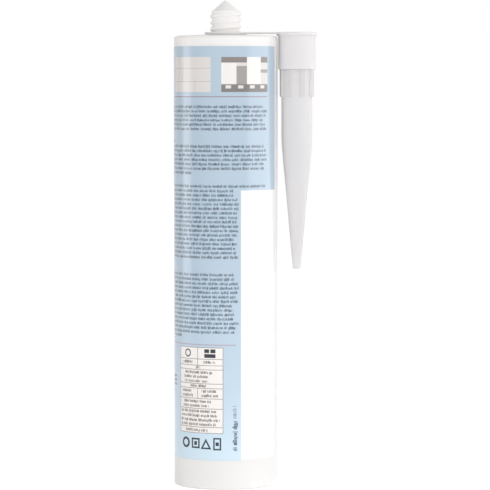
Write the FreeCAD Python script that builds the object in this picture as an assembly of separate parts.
"""A 310 ml sealant cartridge that stands on its open rear end, with its nozzle hung beside it.

The barrel is one moulding: a straight tube, a shoulder, and a nipple with a coarse thread and a closed
conical tip. Behind the sealant sits a piston, which a gun's rod pushes up the bore. The nozzle is one
moulding too, with a flat strap and a ring; the ring lies loose round the nipple, under its thread.
A film label goes round the tube and leaves a narrow strip bare.

Millimetres. Z is up. The origin is on the barrel's axis, at its rear rim. The nozzle hangs at +X, and
angles are counted from +X towards +Y.
"""

import FreeCAD, Part
import math
import os

Vector = FreeCAD.Vector
ORIGIN = Vector(0, 0, 0)
UP = Vector(0, 0, 1)

# The barrel's tube and shoulder
barrel_diameter = 49.6
barrel_length = 215.8
barrel_wall = 1.4
rim_rounding = 0.8
mouth_depth = 12.0
mouth_relief = 0.25
mouth_taper_length = 1.0
shoulder_thickness = 2.0
shoulder_fall = 0.6
shoulder_rounding = 1.6
shoulder_inner_rounding = 2.0
seat_radius = 11.0

# The nipple, from the shoulder's flat seat upwards
neck_radius = 6.6
neck_height = 11.2
neck_bore_radius = 4.8
neck_inner_rounding = 1.2
tip_half_angle = 49.5
tip_rounding = 1.7
tip_wall = 1.2

# The thread on the nipple; its first turn starts just over the ring
thread_pitch = 3.0
thread_depth = 0.85
thread_root_width = 1.7
thread_crest_width = 0.6
thread_start_angle = 170.0
thread_clearance = 0.42
thread_runout = 1.5
thread_sink = 0.35

# The ring of the nozzle's strap, loose round the neck
ring_radius = 10.15
ring_play = 0.4
ring_thickness = 1.2
ring_lift = 0.05
ring_rounding = 0.3

# The strap between the ring and the nozzle's lip, and the gap that it leaves between collar and label
nozzle_gap = 0.12
strap_width = 8.0
strap_thickness = 0.8
bead_width = 0.6
bead_thickness = 1.0

# The nozzle, with its lengths counted down from its top
nozzle_length = 113.4
lip_radius = 9.85
lip_edge = 1.1
lip_flare = 1.1
lip_rounding = 0.2
collar_radius = 8.9
collar_length = 17.8
collar_rounding = 0.4
body_radius = 7.4
body_straight_length = 52.3
body_bend_radius = 110.0
body_wall = 0.85
tip_radius = 2.0
tip_opening_radius = 1.25

# The grip ribs under the nozzle's collar
rib_count = 8
rib_length = 13.2
rib_width = 2.2
rib_height = 1.0
rib_angle = 18.3
rib_sink = 0.4

# The nozzle's socket, which screws over the nipple
socket_play = 0.3
socket_depth = 15.6
socket_seat_length = 1.3
socket_mouth_chamfer = 0.3
socket_thread_inset = 2.6
socket_thread_turns = 2.75
socket_thread_clearance = 0.2
socket_thread_sink = 0.4

# The piston
piston_setback = 16.0
piston_height = 16.6
piston_play = 0.06
piston_relief = 0.4
piston_wall = 1.3
piston_face = 1.5
piston_shoulder = 2.4
piston_shoulder_rounding = 0.6
wiping_band = 1.8
wiping_band_slope = 0.5
front_edge_rounding = 0.3
rear_edge_rounding = 0.4
hub_radius = 9.0
hub_depth = 8.0
spoke_count = 6
spoke_thickness = 1.2
spoke_depth = 6.0
spoke_sink = 0.3

# The sealant between the piston and the tip
sealant_gap = 0.05

# The label and its blue field
label_gap = 0.03
label_thickness = 0.1
label_bottom = 14.1
label_top = 210.1
label_start_angle = 3.4
label_end_angle = 339.4
print_gap = 0.03
print_thickness = 0.08
print_step_height = 142.1
print_step_angle = 286.9

# What follows from the sizes above
barrel_radius = barrel_diameter / 2
bore_radius = barrel_radius - barrel_wall
mouth_radius = bore_radius + mouth_relief
shoulder_edge_height = barrel_length - shoulder_fall
cone_slope = math.tan(math.radians(tip_half_angle))
cone_base = barrel_length + neck_height
cone_apex = cone_base + neck_radius / cone_slope
thread_radius = neck_radius + thread_depth
ring_bottom = barrel_length + ring_lift
nozzle_top = ring_bottom + ring_thickness
thread_start = nozzle_top + thread_clearance + thread_root_width / 2
socket_radius = thread_radius + socket_play
body_bore_radius = body_radius - body_wall
ceiling_height = barrel_length - shoulder_thickness
ceiling_edge_height = shoulder_edge_height - shoulder_thickness
piston_front = piston_setback + piston_height
label_inner_radius = barrel_radius + label_gap
label_outer_radius = label_inner_radius + label_thickness
print_inner_radius = label_outer_radius + print_gap
print_outer_radius = print_inner_radius + print_thickness
nozzle_offset = print_outer_radius + nozzle_gap + collar_radius

# The shortest line and the smallest turn that an outline keeps
smallest = 1e-6


def outline_face(corners):
    """The face inside an outline in the XZ plane.

    Each corner is (x, z) or (x, z, rounding), and a rounding is a tangent arc that is kept shorter
    than half of the run on each side of it.
    """
    points = [Vector(corner[0], 0, corner[1]) for corner in corners]
    roundings = [corner[2] if len(corner) > 2 else 0.0 for corner in corners]
    edges = []
    stretches = []
    for here, point in enumerate(points):
        before = points[here - 1]
        after = points[(here + 1) % len(points)]
        arriving = (point - before).normalize()
        leaving = (after - point).normalize()
        turn = arriving.getAngle(leaving)
        if roundings[here] == 0.0 or turn < smallest:
            stretches.append((point, point))
            continue
        room = min((point - before).Length, (after - point).Length)
        if roundings[here - 1] > 0.0 or roundings[(here + 1) % len(points)] > 0.0:
            room = room / 2
        reach = min(roundings[here] * math.tan(turn / 2), room)
        radius = reach / math.tan(turn / 2)
        start = point - arriving * reach
        end = point + leaving * reach
        towards_centre = (leaving - arriving).normalize()
        centre = point + towards_centre * (radius / math.cos(turn / 2))
        edges.append(Part.Arc(start, centre - towards_centre * radius, end).toShape())
        stretches.append((start, end))
    for here, (start, end) in enumerate(stretches):
        previous_end = stretches[here - 1][1]
        if (start - previous_end).Length > smallest:
            edges.append(Part.makeLine(previous_end, start))
    wire = Part.Wire(Part.__sortEdges__(edges))
    return Part.Face(wire)


def turned(corners):
    """A solid of revolution about Z from an outline of (radius, height, rounding) corners."""
    return outline_face(corners).revolve(ORIGIN, UP, 360)


def sector(inner_radius, outer_radius, bottom, top, start_angle, end_angle):
    """A thin curved wall about Z, between two angles in degrees."""
    corners = [(inner_radius, bottom), (outer_radius, bottom), (outer_radius, top), (inner_radius, top)]
    wall = outline_face(corners).revolve(ORIGIN, UP, end_angle - start_angle)
    wall.rotate(ORIGIN, UP, start_angle)
    return wall


def helical_ridge(foot_radius, crest_radius, foot_width, crest_width, height):
    """A right-handed ridge of the nipple's pitch round Z, which starts at +X with its middle at height 0."""
    corners = [
        Vector(foot_radius, 0, -foot_width / 2),
        Vector(crest_radius, 0, -crest_width / 2),
        Vector(crest_radius, 0, crest_width / 2),
        Vector(foot_radius, 0, foot_width / 2),
    ]
    section = Part.makePolygon(corners + corners[:1])
    path = Part.Wire(Part.makeHelix(thread_pitch, height, foot_radius).Edges)
    return path.makePipeShell([section], True, True)


def cone_wall_drop(wall):
    """How far a cone parallel to the tip's lies below it, for a wall of that thickness."""
    return wall / math.sin(math.radians(tip_half_angle))


def cavity_corners(gap, bottom):
    """Outline of the room for sealant, from the tip down to the height bottom, taken in by gap."""
    apex = cone_apex - cone_wall_drop(tip_wall + gap)
    neck = neck_bore_radius - gap
    bore = bore_radius - gap
    return [
        (0, apex),
        (neck, apex - neck / cone_slope),
        (neck, ceiling_height - gap, neck_inner_rounding),
        (bore, ceiling_edge_height - gap, shoulder_inner_rounding),
        (bore, bottom),
    ]


def nipple_thread():
    """The thread's ridge. Past the tip's foot, the tip's slope cuts it away little by little."""
    flank = (thread_root_width - thread_crest_width) / thread_depth
    ridge = helical_ridge(
        neck_radius - thread_sink,
        thread_radius,
        thread_root_width + flank * thread_sink,
        thread_crest_width,
        cone_base + thread_runout - thread_start,
    )
    ridge.rotate(ORIGIN, UP, thread_start_angle)
    ridge.translate(UP * thread_start)
    slope = Part.makeCone(cone_apex * cone_slope, 0, cone_apex)
    return ridge.common(slope)


def make_barrel():
    """Tube, shoulder and threaded nipple: one injection moulding, open at its rear."""
    tip_flat = tip_rounding * math.tan(math.radians(90 - tip_half_angle) / 2)
    outside = [
        (0, cone_apex - tip_flat / cone_slope),
        (tip_flat, cone_apex - tip_flat / cone_slope, tip_rounding),
        (neck_radius, cone_base),
        (neck_radius, barrel_length),
        (seat_radius, barrel_length),
        (barrel_radius, shoulder_edge_height, shoulder_rounding),
        (barrel_radius, 0, rim_rounding),
        (mouth_radius, 0),
        (mouth_radius, mouth_depth - mouth_taper_length),
    ]
    inside = cavity_corners(0, mouth_depth)
    shell = turned(outside + inside[::-1])
    return shell.fuse(nipple_thread()).removeSplitter()


def make_sealant():
    """The paste that fills the bore and the nipple, in front of the piston."""
    bottom = piston_front + sealant_gap
    return turned(cavity_corners(sealant_gap, bottom) + [(0, bottom)])


def make_piston():
    """A cup, open to the rear, with a wiping lip at each end and spokes behind its face."""
    lip = bore_radius - piston_play
    skirt = bore_radius - piston_relief
    hollow = skirt - piston_wall
    rear = piston_setback
    front = piston_front
    ceiling = front - piston_face
    lip_top = front - piston_shoulder
    cup = turned(
        [
            (0, front),
            (skirt - piston_shoulder, front, piston_shoulder_rounding),
            (lip, lip_top, front_edge_rounding),
            (lip, lip_top - wiping_band),
            (skirt, lip_top - wiping_band - wiping_band_slope),
            (skirt, rear + wiping_band + wiping_band_slope),
            (lip, rear + wiping_band),
            (lip, rear, rear_edge_rounding),
            (hollow, rear),
            (hollow, ceiling, piston_wall),
            (0, ceiling),
        ]
    )
    hub_foot = Vector(0, 0, ceiling - hub_depth)
    hub = Part.makeCylinder(hub_radius, hub_depth + spoke_sink, hub_foot)
    hub = hub.cut(Part.makeCylinder(hub_radius - spoke_thickness, hub_depth, hub_foot))
    start = hub_radius - spoke_thickness / 2
    spoke = Part.makeBox(
        hollow + spoke_sink - start,
        spoke_thickness,
        spoke_depth + spoke_sink,
        Vector(start, -spoke_thickness / 2, ceiling - spoke_depth),
    )
    spokes = []
    for number in range(spoke_count):
        copy = spoke.copy()
        copy.rotate(ORIGIN, UP, number * 360 / spoke_count)
        spokes.append(copy)
    return cup.fuse([hub] + spokes).removeSplitter()


def nozzle_tube():
    """The turned part of the nozzle, on its own axis at the origin."""
    top = nozzle_top
    seat = top - socket_depth
    bend = top - body_straight_length
    tip = top - nozzle_length
    return turned(
        [
            (socket_radius + socket_mouth_chamfer, top),
            (lip_radius, top, lip_rounding),
            (lip_radius, top - lip_edge, lip_rounding),
            (collar_radius, top - lip_edge - lip_flare, lip_rounding),
            (collar_radius, top - collar_length, collar_rounding),
            (body_radius, top - collar_length),
            (body_radius, bend, body_bend_radius),
            (tip_radius, tip),
            (tip_opening_radius, tip),
            (body_bore_radius, bend, body_bend_radius),
            (body_bore_radius, seat - socket_seat_length),
            (socket_radius, seat),
            (socket_radius, top - socket_mouth_chamfer),
        ]
    )


def nozzle_ribs():
    """The grip ribs under the collar, with their outer faces on one circle."""
    outer = body_radius + rib_height
    bottom = nozzle_top - collar_length - rib_length
    length = rib_length + rib_sink
    blank = Part.makeBox(
        outer - body_radius + rib_sink,
        rib_width,
        length,
        Vector(body_radius - rib_sink, -rib_width / 2, bottom),
    )
    blank = blank.common(Part.makeCylinder(outer, length, Vector(0, 0, bottom)))
    ribs = []
    for number in range(rib_count):
        rib = blank.copy()
        rib.rotate(ORIGIN, UP, rib_angle + number * 360 / rib_count)
        ribs.append(rib)
    return ribs


def socket_thread():
    """The thread inside the collar, which fits the nipple's with a clearance all round."""
    crest = neck_radius + socket_thread_clearance
    height = thread_pitch * socket_thread_turns
    ridge = helical_ridge(
        socket_radius + socket_thread_sink,
        crest,
        thread_pitch - thread_crest_width - 2 * socket_thread_clearance,
        thread_pitch - thread_root_width - 2 * socket_thread_clearance,
        height,
    )
    ridge.translate(UP * (nozzle_top - socket_thread_inset - height))
    return ridge


def make_nozzle():
    """Ring, strap and nozzle: one moulding in natural plastic, whose ring turns round the neck."""
    nozzle = nozzle_tube().fuse(nozzle_ribs() + [socket_thread()])
    nozzle.translate(Vector(nozzle_offset, 0, 0))
    hole_radius = neck_radius + ring_play
    ring = turned(
        [
            (hole_radius, ring_bottom),
            (ring_radius, ring_bottom, ring_rounding),
            (ring_radius, nozzle_top, ring_rounding),
            (hole_radius, nozzle_top),
        ]
    )
    strap_start = (hole_radius + ring_radius) / 2
    strap_end = nozzle_offset - (socket_radius + lip_radius) / 2
    strap = Part.makeBox(
        strap_end - strap_start,
        strap_width,
        strap_thickness,
        Vector(strap_start, -strap_width / 2, nozzle_top - strap_thickness),
    )
    bead_middle = (ring_radius + nozzle_offset - lip_radius) / 2
    bead = Part.makeBox(
        bead_width,
        strap_width,
        bead_thickness,
        Vector(bead_middle - bead_width / 2, -strap_width / 2, nozzle_top - bead_thickness),
    )
    return nozzle.fuse([ring, strap, bead]).removeSplitter()


def make_label():
    """The film round the tube, which leaves a strip of the barrel bare."""
    return sector(
        label_inner_radius,
        label_outer_radius,
        label_bottom,
        label_top,
        label_start_angle,
        label_end_angle,
    )


def make_label_print():
    """The blue field on the label: its full width above the step, and short of its end below it."""
    upper = sector(
        print_inner_radius,
        print_outer_radius,
        print_step_height,
        label_top,
        label_start_angle,
        label_end_angle,
    )
    lower = sector(
        print_inner_radius,
        print_outer_radius,
        label_bottom,
        print_step_height,
        label_start_angle,
        print_step_angle,
    )
    return upper.fuse(lower).removeSplitter()


def write_part(name, shape):
    """Writes one sub-part, and prints what it is made of."""
    solid = shape.Solids[0] if len(shape.Solids) == 1 else shape
    print(name, "solids", len(shape.Solids), "valid", solid.isValid(), "volume", round(solid.Volume, 2))
    solid.exportStep(os.path.join("parts", name + ".step"))


os.makedirs("parts", exist_ok=True)
write_part("barrel", make_barrel())
write_part("sealant", make_sealant())
write_part("piston", make_piston())
write_part("nozzle", make_nozzle())
write_part("label", make_label())
write_part("label_print", make_label_print())
print("piston travel", round(ceiling_edge_height - piston_front, 2))
